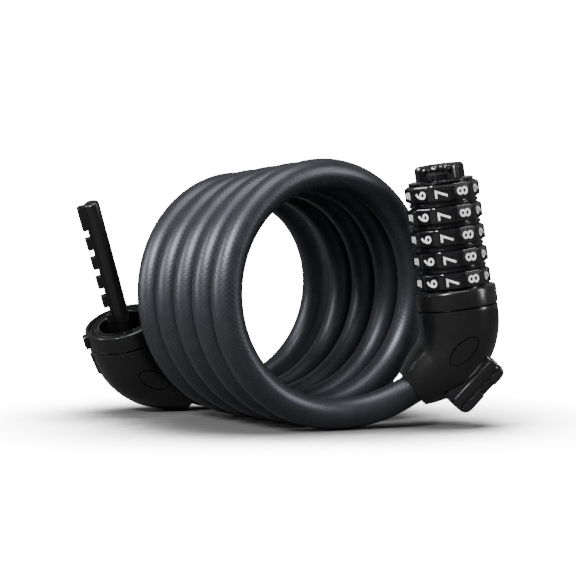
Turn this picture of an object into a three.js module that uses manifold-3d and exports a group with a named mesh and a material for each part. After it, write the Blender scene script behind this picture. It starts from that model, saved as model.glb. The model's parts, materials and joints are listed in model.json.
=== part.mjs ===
// Coiled cable lock: a sheathed steel cable wound in five turns, a five-dial
// combination lock head on its front end, and a plug with a toothed shank on
// its rear end. Millimetres, +Z up, standing on z = 0. The coil's axis runs
// along Y, and the lock head is at the -Y end.
import * as THREE from 'three';
import { mergeVertices } from 'three/addons/utils/BufferGeometryUtils.js';
import Module from 'manifold-3d';

const wasm = await Module();
wasm.setup();

// ---- Driving dimensions, in millimetres and degrees ----

const GAP = 0.3; // clearance between neighbouring pieces

// Cable and its coil
const CABLE_RADIUS = 6;
const COIL_RADIUS = 46.5; // centre line of the first turn
const COIL_SHRINK = 0.8; // how much tighter each turn is than the one before
const COIL_DRIFT = 0.3; // how far each turn sits to the left of the one before
const COIL_PITCH = 14.3;
const COIL_START_Y = -3.9;
const COIL_START_ANGLE = -53.8; // where the cable enters the lock head, 0 is +X and 90 is up
const COIL_TURNS = 5.156;
const FRONT_SWING = { turns: 0.22, side: 1.4, along: -10.3 };
const REAR_SWING = { turns: COIL_TURNS - 4, side: 6.5, along: 16.7 };
const FRONT_LEAD_TURNS = 0.361; // free cable between the lock head and the coil's solid
const REAR_LEAD_TURNS = COIL_TURNS - 4.6;

// Housings: a collar on a tapering elbow that the cable enters
const COLLAR_RADIUS = 16;
const COLLAR_HEIGHT = 7.5;
const ELBOW_TOP_RADIUS = 15.8;
const ELBOW_BEND_RADIUS = 22;
const ELBOW_WALL = 3.4;
const CABLE_BORE_RADIUS = 6.4;
const CABLE_BORE_DEPTH = 12;
// The legs run from the cable's mouth to the corner of the elbow's centre line, and from that
// corner to the collar seam. An oval's turn is measured from the bend's outer side to the axis.
const HEAD_SHAPE = { entryLeg: 25, axisLeg: 16.2, mouthRadius: 7.8, oval: { x: -1.4, z: -15.8, turn: 38 } };
const PLUG_SHAPE = { entryLeg: 27, axisLeg: 12.4, mouthRadius: 9.4, oval: { x: -4.2, z: -15.3, turn: 45 } };
const OVAL_LENGTH = 14.4;
const OVAL_WIDTH = 7.4;
const OVAL_SEAT = 12.8; // distance of an oval cap's flat back from the housing's middle plane
const FERRULE_RADIUS = 6.6;
const FERRULE_LENGTH = 10.5;
const CORE_RADIUS = 3.8;
const PIN_RADIUS = 1.5;

// Lock head
const HEAD_ENTRY = new THREE.Vector3(0.683, -0.382, 0.623).normalize();
const HEAD_AXIS = new THREE.Vector3(-0.128, 0.05, 0.99).normalize();
const DIAL_COUNT = 5;
const DIGIT_COUNT = 10;
const DIAL_PITCH = 8.5;
const DIAL_HEIGHT = 6.6;
const DIAL_BAND_HEIGHT = 5.6;
const DIAL_RIB_RADIUS = 14.4;
const DIAL_PANEL_RADIUS = 13.6;
const DIAL_SHOULDER_RADIUS = 13.3;
const DIAL_BORE_RADIUS = 9.9;
const CODE_RING_RADIUS = 9.6;
const DRIVE_TOOTH_HEIGHT = 1;
const SPACER_HEIGHT = 1.3;
const SPACER_RADIUS = 13.4;
const SPINDLE_RADIUS = 5.6;
const SPINDLE_BORE_RADIUS = 3.7;
const SPINDLE_FLANGE_RADIUS = 9;
const KEYWAY_WIDTH = 3.8;
const KEYWAY_REACH = 7; // distance of the keyway's outer wall from the axis
const KNOB_RADIUS = 9.6;
const NOSE_HEIGHT = 0.9;
const KNOB_HEIGHT = 5.6;
const KNOB_RIBS = 26;
const KNOB_BORE_RADIUS = 8;
const KNOB_TRACK_ANGLE = 62;
const BUSH_RADIUS = 7.7;

// Bracket lug on the lock head's elbow
const LUG_ANGLE = -51; // direction of its outer face, 0 is the elbow's outer side, 90 is the dial axis
const LUG_CENTRE = { x: 2.05, z: -29.5 };
const LUG_LENGTH = 23.4;
const LUG_WIDTH = 20;
const LUG_THICKNESS = 11.8;
const LUG_CORNER = 2.6;
const LUG_GROOVE_AT = 3.4; // middle of the groove from the outer face
const LUG_GROOVE = 1.3;

// Plug
const PLUG_AXIS = new THREE.Vector3(-0.365, -0.157, 0.918).normalize();
const PLUG_LIFT = 0.06; // upward lean that the cable's entry has beyond the coil's own direction
const CUP_RADIUS = 9.9;
const CUP_DEPTH = 8.9;
const SHANK_RADIUS = 3.2;
const SHANK_RIDGE_REACH = 6;
const SHANK_RIDGE_WIDTH = 3.2;
const SHANK_LENGTH = 52.8; // above the collar
const NOTCH_HEIGHT = 3.6;
const FIRST_NOTCH = 6.4; // middle of the lowest notch above the collar
const NOTCH_FLOOR = 3.9; // distance of a notch's floor from the axis

// ---- Materials ----

const finish = {
  sheath: new THREE.MeshStandardMaterial({ color: 0x24252a, roughness: 0.45, metalness: 0 }),
  housing: new THREE.MeshStandardMaterial({ color: 0x141517, roughness: 0.5, metalness: 0 }),
  gloss: new THREE.MeshStandardMaterial({ color: 0x0b0b0d, roughness: 0.25, metalness: 0 }),
  shank: new THREE.MeshStandardMaterial({ color: 0x0f0f10, roughness: 0.35, metalness: 0.3 }),
  steel: new THREE.MeshStandardMaterial({ color: 0x9a9ca0, roughness: 0.35, metalness: 0.9 }),
  brass: new THREE.MeshStandardMaterial({ color: 0xb08d4a, roughness: 0.35, metalness: 0.9 }),
};

// ---- Shape helpers ----

const radians = THREE.MathUtils.degToRad;

function onCircle(radius, degrees) {
  const angle = radians(degrees);
  return new THREE.Vector2(radius * Math.cos(angle), radius * Math.sin(angle));
}

// Drops everything but positions, merges shared vertices and removes collapsed triangles.
function welded(geometry) {
  const bare = geometry.clone();
  for (const extra of ['normal', 'uv']) bare.deleteAttribute(extra);
  const merged = mergeVertices(bare, 1e-4);
  const source = merged.index.array;
  const kept = [];
  for (let i = 0; i < source.length; i += 3) {
    const [a, b, c] = source.slice(i, i + 3);
    if (a !== b && b !== c && c !== a) kept.push(a, b, c);
  }
  merged.setIndex(kept);
  return merged;
}

function toSolid(geometry) {
  const merged = welded(geometry);
  return new wasm.Manifold(new wasm.Mesh({
    numProp: 3,
    vertProperties: new Float32Array(merged.attributes.position.array),
    triVerts: new Uint32Array(merged.index.array),
  }));
}

function toGeometry(solid) {
  const mesh = solid.getMesh();
  const geometry = new THREE.BufferGeometry();
  geometry.setAttribute('position', new THREE.BufferAttribute(mesh.vertProperties, 3));
  geometry.setIndex(new THREE.BufferAttribute(mesh.triVerts, 1));
  return geometry;
}

function cut(geometry, ...tools) {
  return toGeometry(tools.reduce((rest, tool) => rest.subtract(toSolid(tool)), toSolid(geometry)));
}

function joined(geometry, ...others) {
  return toGeometry(others.reduce((sum, other) => sum.add(toSolid(other)), toSolid(geometry)));
}

function common(geometry, other) {
  return toGeometry(toSolid(geometry).intersect(toSolid(other)));
}

// Turns [radius, height] corners about Z. Corners that stay off the axis close into a ring.
function turned(corners, segments = 28) {
  const points = corners.map(([radius, height]) => new THREE.Vector2(radius, height));
  if (THREE.ShapeUtils.area(points) < 0) points.reverse();
  const first = points.findIndex((point) => point.x === 0);
  if (first < 0) points.push(points[0].clone());
  const geometry = new THREE.LatheGeometry(points, segments);
  geometry.rotateX(Math.PI / 2);
  return welded(geometry);
}

// A cylinder about Z from one height to another.
function rod(radius, from, to, segments = 24) {
  const geometry = new THREE.CylinderGeometry(radius, radius, to - from, segments);
  geometry.rotateX(Math.PI / 2);
  geometry.translate(0, 0, (from + to) / 2);
  return geometry;
}

function extruded(outline, from, to, holes = []) {
  const shape = new THREE.Shape(outline);
  shape.holes = holes.map((hole) => new THREE.Path(hole));
  const geometry = new THREE.ExtrudeGeometry(shape, { depth: to - from, bevelEnabled: false });
  geometry.translate(0, 0, from);
  return geometry;
}

function block(width, depth, height) {
  return new THREE.BoxGeometry(width, depth, height);
}

// Corners given as [degrees, radius] for one step, repeated around a circle.
function repeatedOutline(count, corners) {
  const points = [];
  for (let step = 0; step < count; step += 1) {
    for (const [degrees, radius] of corners) {
      points.push(onCircle(radius, degrees + (360 * step) / count));
    }
  }
  return points;
}

function circleOutline(radius, sides = 32) {
  return repeatedOutline(sides, [[0, radius]]);
}

// A round hole with a square keyway towards +X.
function keyholeOutline(radius, width, reach, sides = 22) {
  const half = width / 2;
  const opening = THREE.MathUtils.radToDeg(Math.asin(half / radius));
  const points = [new THREE.Vector2(reach, -half), new THREE.Vector2(reach, half)];
  for (let side = 0; side <= sides; side += 1) {
    points.push(onCircle(radius, opening + ((360 - 2 * opening) * side) / sides));
  }
  return points;
}

function ovalOutline(length, width, sides = 20) {
  const points = [];
  for (let side = 0; side < sides; side += 1) {
    const angle = (2 * Math.PI * side) / sides;
    points.push(new THREE.Vector2((length / 2) * Math.cos(angle), (width / 2) * Math.sin(angle)));
  }
  return points;
}

// ---- Cable route: worked out turn by turn, from the lock head to the plug ----

function routePoint(turn) {
  const radius = COIL_RADIUS - COIL_SHRINK * turn;
  const angle = radians(COIL_START_ANGLE - 360 * turn);
  const front = Math.max(0, 1 - turn / FRONT_SWING.turns) ** 2;
  const rear = Math.max(0, 1 - (COIL_TURNS - turn) / REAR_SWING.turns) ** 2;
  return new THREE.Vector3(
    radius * Math.cos(angle) - COIL_DRIFT * turn + FRONT_SWING.side * front + REAR_SWING.side * rear,
    COIL_START_Y + COIL_PITCH * turn + FRONT_SWING.along * front + REAR_SWING.along * rear,
    CABLE_RADIUS + radius * (1 + Math.sin(angle)),
  );
}

function routeDirection(turn) {
  const step = 0.001;
  return routePoint(turn + step).sub(routePoint(turn - step)).normalize();
}

const HEAD_EXIT = routePoint(0);
const PLUG_EXIT = routePoint(COIL_TURNS);
const PLUG_ENTRY = routeDirection(COIL_TURNS).add(new THREE.Vector3(0, 0, PLUG_LIFT)).normalize();

// ---- Elbow: straight at the collar, round the bend, straight at the cable's mouth ----

// The elbow's own frame has its origin at the collar seam, +Z out along the collar's
// axis and +X on the outer side of the bend.
function makeElbow(entry, axis, shape) {
  const bend = entry.angleTo(axis);
  const tangentLength = ELBOW_BEND_RADIUS * Math.tan(bend / 2);
  const topLeg = shape.axisLeg - tangentLength;
  const mouthLeg = shape.entryLeg - tangentLength;
  const arcLength = ELBOW_BEND_RADIUS * bend;
  const length = topLeg + arcLength + mouthLeg;
  return { topLeg, arcLength, length, mouthRadius: shape.mouthRadius };
}

// The point on the centre line that far below the seam, and the bend's outward direction there.
function elbowStation(elbow, distance) {
  const turned = THREE.MathUtils.clamp(distance - elbow.topLeg, 0, elbow.arcLength) / ELBOW_BEND_RADIUS;
  const outward = new THREE.Vector3(Math.cos(turned), 0, -Math.sin(turned));
  const down = new THREE.Vector3(-Math.sin(turned), 0, -Math.cos(turned));
  const before = Math.min(distance, elbow.topLeg);
  const after = Math.max(0, distance - elbow.topLeg - elbow.arcLength);
  const point = new THREE.Vector3(-ELBOW_BEND_RADIUS, 0, -before)
    .addScaledVector(outward, ELBOW_BEND_RADIUS)
    .addScaledVector(down, after);
  return { point, outward, down };
}

// Bends a solid that hangs down from the seam along -Z onto the elbow's centre line.
function bent(geometry, elbow) {
  const result = geometry.clone();
  const position = result.attributes.position;
  for (let i = 0; i < position.count; i += 1) {
    const { point, outward } = elbowStation(elbow, -position.getZ(i));
    point.addScaledVector(outward, position.getX(i));
    position.setXYZ(i, point.x, position.getY(i), point.z);
  }
  return result;
}

function elbowRadius(elbow, distance) {
  const fromMouth = (elbow.length - distance) / elbow.length;
  const swell = Math.sin((Math.PI / 2) * Math.max(0, fromMouth) ** 0.75);
  return elbow.mouthRadius + (ELBOW_TOP_RADIUS - elbow.mouthRadius) * swell;
}

function elbowOutline(elbow, from, to, steps, inset) {
  const corners = [];
  for (let step = 0; step <= steps; step += 1) {
    const distance = from + ((to - from) * step) / steps;
    corners.push([elbowRadius(elbow, distance) - inset, -distance]);
  }
  return corners;
}

function elbowShell(elbow) {
  const boreTop = elbow.length - CABLE_BORE_DEPTH;
  const outside = elbowOutline(elbow, 0, elbow.length, 9, 0);
  const inside = elbowOutline(elbow, boreTop - 1, 0, 4, ELBOW_WALL);
  const corners = [
    ...outside,
    [CABLE_BORE_RADIUS, -elbow.length],
    [CABLE_BORE_RADIUS, -boreTop],
    ...inside,
  ];
  return bent(turned(corners, 24), elbow);
}

// ---- Pieces both housings share ----

const own = new THREE.Group();
const cord = new THREE.Group();

function add(parent, name, geometry, material) {
  const mesh = new THREE.Mesh(welded(geometry), material);
  mesh.name = name;
  parent.add(mesh);
  return mesh;
}

// Moves a shape made about +Z so that it crosses a housing from side to side. Its own X then
// points that many degrees round from the bend's outer side towards the collar's axis.
function crosswise(geometry, x, z, degrees) {
  const result = geometry.clone();
  result.rotateZ(radians(degrees));
  result.rotateX(Math.PI / 2);
  result.translate(x, 0, z);
  return result;
}

// A solid about the cable's own axis, from one distance inside the mouth to another.
function alongCable(geometry, elbow) {
  const { point, outward, down } = elbowStation(elbow, elbow.length);
  const frame = new THREE.Matrix4().makeBasis(outward, new THREE.Vector3(0, 1, 0), down.negate());
  frame.setPosition(point);
  return geometry.clone().applyMatrix4(frame);
}

const PIN_FROM_MOUTH = 18;
const PIN_HALF_LENGTH = 12;
const HALF_HOUSING = 20; // reaches past either side of a housing

function addHousing(prefix, exit, entry, axis, shape) {
  const elbow = makeElbow(entry, axis, shape);
  const outer = entry.clone().addScaledVector(axis, -entry.dot(axis)).normalize();
  const seam = exit.clone()
    .addScaledVector(entry, shape.entryLeg)
    .addScaledVector(axis, shape.axisLeg);
  const housing = new THREE.Group();
  const basis = new THREE.Matrix4().makeBasis(outer, axis.clone().cross(outer), axis);
  housing.quaternion.setFromRotationMatrix(basis);
  housing.position.copy(seam);
  own.add(housing);

  // The cable's pin crosses the ferrule and ends in blind holes in the shell's walls.
  const pinPoint = elbowStation(elbow, elbow.length - PIN_FROM_MOUTH).point;
  const pinReach = PIN_HALF_LENGTH + GAP;
  const pinHole = crosswise(rod(PIN_RADIUS + GAP, -pinReach, pinReach, 12), pinPoint.x, pinPoint.z, 0);
  const pin = crosswise(rod(PIN_RADIUS, -PIN_HALF_LENGTH, PIN_HALF_LENGTH, 12), pinPoint.x, pinPoint.z, 0);
  add(housing, `${prefix}_cable_pin`, pin, finish.steel);

  // An oval cap sits in a shallow pocket on each side of the shell.
  const shell = elbowShell(elbow);
  const pockets = [];
  const capOutline = ovalOutline(OVAL_LENGTH, OVAL_WIDTH);
  const pocketOutline = ovalOutline(OVAL_LENGTH + 2 * GAP, OVAL_WIDTH + 2 * GAP);
  for (const [side, half] of [['left', 1], ['right', -1]]) {
    const place = (outline, seat) => {
      const prism = extruded(outline, seat, HALF_HOUSING);
      if (half < 0) prism.rotateX(Math.PI);
      return crosswise(prism, shape.oval.x, shape.oval.z, shape.oval.turn);
    };
    const cap = common(shell, place(capOutline, OVAL_SEAT));
    add(housing, `${prefix}_oval_cap_${side}`, cap, finish.housing);
    pockets.push(place(pocketOutline, OVAL_SEAT - GAP));
  }
  add(housing, `${prefix}_elbow`, cut(shell, pinHole, ...pockets), finish.housing);

  const ferruleStart = CABLE_BORE_DEPTH + GAP;
  const ferrule = alongCable(turned([
    [CORE_RADIUS + GAP, ferruleStart],
    [FERRULE_RADIUS, ferruleStart],
    [FERRULE_RADIUS, ferruleStart + FERRULE_LENGTH],
    [CORE_RADIUS + GAP, ferruleStart + FERRULE_LENGTH],
  ], 16), elbow);
  add(housing, `${prefix}_ferrule`, cut(ferrule, pinHole), finish.brass);
  const core = alongCable(rod(CORE_RADIUS, ferruleStart, ferruleStart + FERRULE_LENGTH, 14), elbow);
  add(housing, `${prefix}_cable_core`, cut(core, pinHole), finish.steel);
  const sheathEnd = alongCable(rod(CABLE_RADIUS, GAP, CABLE_BORE_DEPTH, 20), elbow);
  add(housing, `${prefix}_sheath_end`, sheathEnd, finish.sheath);
  return { housing, elbow, shell };
}

// ---- Lock head ----

const head = addHousing('head', HEAD_EXIT, HEAD_ENTRY, HEAD_AXIS, HEAD_SHAPE);

// The collar closes the elbow and carries the dial stack on its top plate.
const COLLAR_PLATE = 2.5;
const COLLAR_CHAMFER = 0.5;
const headCollarBore = ELBOW_TOP_RADIUS - ELBOW_WALL;
add(head.housing, 'head_collar', turned([
  [headCollarBore, GAP],
  [ELBOW_TOP_RADIUS, GAP],
  [COLLAR_RADIUS, COLLAR_CHAMFER + GAP],
  [COLLAR_RADIUS, COLLAR_HEIGHT - COLLAR_CHAMFER],
  [COLLAR_RADIUS - COLLAR_CHAMFER, COLLAR_HEIGHT],
  [SPINDLE_RADIUS + GAP, COLLAR_HEIGHT],
  [SPINDLE_RADIUS + GAP, COLLAR_HEIGHT - COLLAR_PLATE],
  [headCollarBore, COLLAR_HEIGHT - COLLAR_PLATE],
], 32), finish.housing);

// Heights along the dial axis, above the collar seam
const DIAL_BASE = COLLAR_HEIGHT + GAP;
const STACK_TOP = DIAL_BASE + DIAL_COUNT * DIAL_PITCH - SPACER_HEIGHT - 2 * GAP;
const NOSE_BASE = STACK_TOP + GAP;
const NOSE_TOP = NOSE_BASE + NOSE_HEIGHT;
const KNOB_BASE = NOSE_TOP + GAP;
const KNOB_TOP = KNOB_BASE + KNOB_HEIGHT;
const FLANGE_TOP = COLLAR_HEIGHT - COLLAR_PLATE - GAP;
const FLANGE_BASE = FLANGE_TOP - 2;

// The spindle is a tube with a keyway slot along its whole length above the flange.
const spindleTube = turned([
  [SPINDLE_BORE_RADIUS, FLANGE_BASE],
  [SPINDLE_FLANGE_RADIUS, FLANGE_BASE],
  [SPINDLE_FLANGE_RADIUS, FLANGE_TOP],
  [SPINDLE_RADIUS, FLANGE_TOP],
  [SPINDLE_RADIUS, NOSE_TOP],
  [SPINDLE_BORE_RADIUS, NOSE_TOP],
], 32);
const spindleSlot = block(KEYWAY_REACH, KEYWAY_WIDTH, 2 * NOSE_TOP);
spindleSlot.translate(KEYWAY_REACH / 2, 0, FLANGE_TOP + GAP + NOSE_TOP);
add(head.housing, 'lock_spindle', cut(spindleTube, spindleSlot), finish.steel);

const ringBore = keyholeOutline(SPINDLE_RADIUS + GAP, KEYWAY_WIDTH, KEYWAY_REACH + GAP);

function driveOutline(baseRadius) {
  const tipRadius = baseRadius + DRIVE_TOOTH_HEIGHT;
  return repeatedOutline(DIGIT_COUNT, [[-9, baseRadius], [-4, tipRadius], [4, tipRadius], [9, baseRadius]]);
}

// A dial has ten flat digit panels, each between two low ribs, and a plain shoulder above and below.
function dialGeometry(base) {
  const panelEdge = 13.2; // degrees from a panel's middle
  const panelCorner = DIAL_PANEL_RADIUS / Math.cos(radians(panelEdge));
  const ribEdge = 14.4;
  const bandOutline = repeatedOutline(DIGIT_COUNT, [
    [-ribEdge, DIAL_RIB_RADIUS],
    [-panelEdge, panelCorner],
    [panelEdge, panelCorner],
    [ribEdge, DIAL_RIB_RADIUS],
  ]);
  const bore = [driveOutline(DIAL_BORE_RADIUS)];
  const margin = (DIAL_HEIGHT - DIAL_BAND_HEIGHT) / 2;
  const band = extruded(bandOutline, base + margin, base + DIAL_HEIGHT - margin, bore);
  const shoulders = extruded(circleOutline(DIAL_SHOULDER_RADIUS), base, base + DIAL_HEIGHT, bore);
  return joined(band, shoulders);
}

for (let dial = 1; dial <= DIAL_COUNT; dial += 1) {
  const base = DIAL_BASE + (dial - 1) * DIAL_PITCH;
  const top = base + DIAL_HEIGHT;
  add(head.housing, `dial_${dial}`, dialGeometry(base), finish.gloss);
  const codeRing = extruded(driveOutline(CODE_RING_RADIUS), base, top, [ringBore]);
  add(head.housing, `code_ring_${dial}`, codeRing, finish.brass);
  if (dial < DIAL_COUNT) {
    const spacer = extruded(circleOutline(SPACER_RADIUS), top + GAP, top + GAP + SPACER_HEIGHT, [ringBore]);
    add(head.housing, `spacer_ring_${dial}`, spacer, finish.gloss);
  }
}
const nosePlate = extruded(circleOutline(SPACER_RADIUS - 0.6), NOSE_BASE, NOSE_TOP, [ringBore]);
add(head.housing, 'nose_plate', nosePlate, finish.gloss);

// The knob is a ribbed ring with a chamfered rim. The arc track in its side limits its quarter turn.
function knobGeometry() {
  const ribDepth = 0.45;
  const chamfer = 1.1;
  const outline = repeatedOutline(KNOB_RIBS, [
    [-4, KNOB_RADIUS - ribDepth],
    [-2, KNOB_RADIUS],
    [2, KNOB_RADIUS],
    [4, KNOB_RADIUS - ribDepth],
  ]);
  const ribbed = extruded(outline, KNOB_BASE, KNOB_TOP, [circleOutline(KNOB_BORE_RADIUS, 32)]);
  const rimLimit = turned([
    [0, KNOB_BASE - 1],
    [KNOB_RADIUS + 1, KNOB_BASE - 1],
    [KNOB_RADIUS + 1, KNOB_TOP - chamfer - 1],
    [KNOB_RADIUS - chamfer, KNOB_TOP],
    [0, KNOB_TOP],
  ]);
  const trackFloor = KNOB_RADIUS - 1;
  const trackSteps = 8;
  const track = [];
  for (let step = 0; step <= trackSteps; step += 1) {
    track.push(onCircle(trackFloor, KNOB_TRACK_ANGLE * (step / trackSteps - 0.5)));
  }
  for (let step = trackSteps; step >= 0; step -= 1) {
    track.push(onCircle(KNOB_RADIUS + 2, KNOB_TRACK_ANGLE * (step / trackSteps - 0.5)));
  }
  const trackTool = extruded(track, KNOB_TOP - 4, KNOB_TOP - 2.2);
  trackTool.rotateZ(radians(-90));
  return cut(common(ribbed, rimLimit), trackTool);
}
add(head.housing, 'reset_knob', knobGeometry(), finish.gloss);

const bushHole = keyholeOutline(SPINDLE_BORE_RADIUS, KEYWAY_WIDTH, KEYWAY_REACH);
const bush = extruded(circleOutline(BUSH_RADIUS, 32), KNOB_BASE, KNOB_TOP - 0.8, [bushHole]);
add(head.housing, 'keyhole_bush', bush, finish.steel);

// A spring under the spindle's flange pushes the stack together, on a washer in the elbow.
const SPRING_SEAT_TOP = -5.2;
const SPRING_WIRE = 0.5;
const SPRING_RADIUS = 5;
const SPRING_TURNS = 3.5;
class SpringLine extends THREE.Curve {
  getPoint(share, target = new THREE.Vector3()) {
    const bottom = SPRING_SEAT_TOP + SPRING_WIRE + GAP;
    const top = FLANGE_BASE - SPRING_WIRE - GAP;
    const angle = 2 * Math.PI * SPRING_TURNS * share;
    return target.set(
      SPRING_RADIUS * Math.cos(angle),
      SPRING_RADIUS * Math.sin(angle),
      bottom + (top - bottom) * share,
    );
  }
}
const spring = new THREE.ExtrudeGeometry(new THREE.Shape(circleOutline(SPRING_WIRE, 6)), {
  steps: 42,
  extrudePath: new SpringLine(),
});
add(head.housing, 'stack_spring', spring, finish.steel);
add(head.housing, 'spring_seat', turned([
  [3, SPRING_SEAT_TOP - 1],
  [9.8, SPRING_SEAT_TOP - 1],
  [9.8, SPRING_SEAT_TOP],
  [3, SPRING_SEAT_TOP],
], 28), finish.steel);

// ---- Bracket lug: a rounded block with a groove round it that slides into a frame bracket ----

const lugFrame = new THREE.Matrix4();
{
  const outward = new THREE.Vector3(Math.cos(radians(LUG_ANGLE)), 0, Math.sin(radians(LUG_ANGLE)));
  const side = new THREE.Vector3(0, 1, 0);
  lugFrame.makeBasis(side.clone().cross(outward), side, outward);
  lugFrame.setPosition(LUG_CENTRE.x, 0, LUG_CENTRE.z);
}

function roundedRectangle(length, width, corner) {
  const points = [];
  for (const [x, y, start] of [[1, 1, 0], [-1, 1, 90], [-1, -1, 180], [1, -1, 270]]) {
    for (let step = 0; step <= 3; step += 1) {
      const point = onCircle(corner, start + (90 * step) / 3);
      points.push(point.add(new THREE.Vector2(x * (length / 2 - corner), y * (width / 2 - corner))));
    }
  }
  return points;
}

// Offsets along the lug's outward direction from its middle
const LUG_FACE = LUG_THICKNESS / 2;
const LUG_SCREW_HEAD_RADIUS = 3.4;
const LUG_SCREW_HEAD_HEIGHT = 2.4;
function lugGeometry() {
  const edge = 0.8;
  const full = extruded(
    roundedRectangle(LUG_LENGTH, LUG_WIDTH, LUG_CORNER),
    -LUG_FACE,
    LUG_FACE - edge,
  );
  const cap = extruded(
    roundedRectangle(LUG_LENGTH - 2 * edge, LUG_WIDTH - 2 * edge, LUG_CORNER),
    LUG_FACE - edge - 0.5,
    LUG_FACE,
  );
  const grooveDepth = 0.9;
  const grooveRing = extruded(
    roundedRectangle(LUG_LENGTH + 4, LUG_WIDTH + 4, LUG_CORNER),
    LUG_FACE - LUG_GROOVE_AT - LUG_GROOVE / 2,
    LUG_FACE - LUG_GROOVE_AT + LUG_GROOVE / 2,
    [roundedRectangle(LUG_LENGTH - 2 * grooveDepth, LUG_WIDTH - 2 * grooveDepth, LUG_CORNER)],
  );
  const latchNotch = block(5.4, 3, 2.6);
  latchNotch.translate(-2.2, -LUG_WIDTH / 2, LUG_FACE - LUG_GROOVE_AT + LUG_GROOVE / 2 + 1.1);
  const screwSeat = rod(LUG_SCREW_HEAD_RADIUS + GAP, LUG_FACE - LUG_SCREW_HEAD_HEIGHT - 2 * GAP, LUG_FACE + 5, 20);
  const body = cut(joined(full, cap), grooveRing, latchNotch, screwSeat);
  return body.applyMatrix4(lugFrame);
}
const elbowEnvelope = bent(turned([
  [0, 1],
  ...elbowOutline(head.elbow, 0, head.elbow.length, 9, -GAP).map(([radius, z], i) => [radius, i ? z : 1]),
  [0, -head.elbow.length],
], 24), head.elbow);
add(head.housing, 'bracket_lug', cut(lugGeometry(), elbowEnvelope), finish.gloss);
const hexSocket = extruded(repeatedOutline(6, [[0, 1.7]]), LUG_FACE - 1.6, LUG_FACE + 1);
const lugScrew = cut(rod(LUG_SCREW_HEAD_RADIUS, LUG_FACE - LUG_SCREW_HEAD_HEIGHT - GAP, LUG_FACE - GAP, 20), hexSocket);
lugScrew.applyMatrix4(lugFrame);
add(head.housing, 'lug_screw', lugScrew, finish.steel);

// ---- Plug ----

const plug = addHousing('plug', PLUG_EXIT, PLUG_ENTRY, PLUG_AXIS, PLUG_SHAPE);

// The collar is the plug's rim, and the cup inside it slips over the lock head's knob.
const cupOuter = 12.7;
add(plug.housing, 'plug_collar', turned([
  [cupOuter + GAP, GAP],
  [ELBOW_TOP_RADIUS, GAP],
  [COLLAR_RADIUS, COLLAR_CHAMFER + GAP],
  [COLLAR_RADIUS, COLLAR_HEIGHT - 0.8],
  [COLLAR_RADIUS - 0.8, COLLAR_HEIGHT],
  [COLLAR_RADIUS - 1.8, COLLAR_HEIGHT],
  [COLLAR_RADIUS - 2.1, COLLAR_HEIGHT - 0.7],
  [cupOuter + GAP, COLLAR_HEIGHT - 0.7],
], 32), finish.housing);
const cupFloorTop = COLLAR_HEIGHT - CUP_DEPTH;
const cupFloor = 2.6;
add(plug.housing, 'plug_cup', turned([
  [SHANK_RADIUS + GAP, cupFloorTop - cupFloor],
  [ELBOW_TOP_RADIUS - ELBOW_WALL - 2 * GAP, cupFloorTop - cupFloor],
  [ELBOW_TOP_RADIUS - ELBOW_WALL - 2 * GAP, -GAP],
  [cupOuter - GAP, GAP],
  [cupOuter, COLLAR_HEIGHT - 1.1],
  [cupOuter - 0.5, COLLAR_HEIGHT - 0.6],
  [CUP_RADIUS + 0.3, COLLAR_HEIGHT - 0.6],
  [CUP_RADIUS, COLLAR_HEIGHT - 1],
  [CUP_RADIUS, cupFloorTop],
  [SHANK_RADIUS + GAP, cupFloorTop],
], 28), finish.gloss);

// The shank is a round rod with a ridge, and the ridge has one square notch for each dial.
function shankGeometry() {
  const tip = COLLAR_HEIGHT + SHANK_LENGTH;
  const ridgeBase = cupFloorTop + GAP;
  const round = turned([
    [0, cupFloorTop - cupFloor - 4.6],
    [SHANK_RADIUS, cupFloorTop - cupFloor - 4.6],
    [SHANK_RADIUS, tip - 1],
    [SHANK_RADIUS - 0.9, tip],
    [0, tip],
  ], 20);
  const ridge = block(SHANK_RIDGE_REACH, SHANK_RIDGE_WIDTH, tip - 1.2 - ridgeBase);
  ridge.translate(SHANK_RIDGE_REACH / 2, 0, (tip - 1.2 + ridgeBase) / 2);
  const notches = [];
  for (let notch = 0; notch < DIAL_COUNT; notch += 1) {
    const tool = block(SHANK_RIDGE_REACH, SHANK_RIDGE_WIDTH + 2, NOTCH_HEIGHT);
    const height = COLLAR_HEIGHT + FIRST_NOTCH + notch * DIAL_PITCH;
    tool.translate(NOTCH_FLOOR + SHANK_RIDGE_REACH / 2, 0, height);
    notches.push(tool);
  }
  return cut(joined(round, ridge), ...notches);
}
add(plug.housing, 'plug_shank', shankGeometry(), finish.shank);

const nutTop = cupFloorTop - cupFloor - GAP;
const shankNut = extruded(
  repeatedOutline(6, [[30, 5.6]]),
  nutTop - 3.4,
  nutTop,
  [circleOutline(SHANK_RADIUS + GAP, 20)],
);
add(plug.housing, 'shank_nut', shankNut, finish.steel);

// A small tab on the rim's outer side shows which way round the plug goes in.
const tab = block(1.4, 4, 5.6);
tab.translate(COLLAR_RADIUS + GAP + 0.7, 0, COLLAR_HEIGHT - 4);
add(plug.housing, 'plug_index_tab', tab, finish.housing);

// ---- Cable: one plain ring for the coil and a tube from it to each housing ----

const ringFront = routePoint(FRONT_LEAD_TURNS).y + CABLE_RADIUS + 2 * GAP;
const ringRear = routePoint(COIL_TURNS - REAR_LEAD_TURNS).y - CABLE_RADIUS - 2 * GAP;
const ringRadius = COIL_RADIUS - (COIL_SHRINK * COIL_TURNS) / 2;
const ring = turned([
  [ringRadius - CABLE_RADIUS, ringFront],
  [ringRadius + CABLE_RADIUS, ringFront],
  [ringRadius + CABLE_RADIUS, ringRear],
  [ringRadius - CABLE_RADIUS, ringRear],
], 48);
ring.rotateX(-Math.PI / 2);
ring.translate(0, 0, ringRadius + CABLE_RADIUS);
add(cord, 'cable_coil', ring, finish.sheath);

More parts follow.
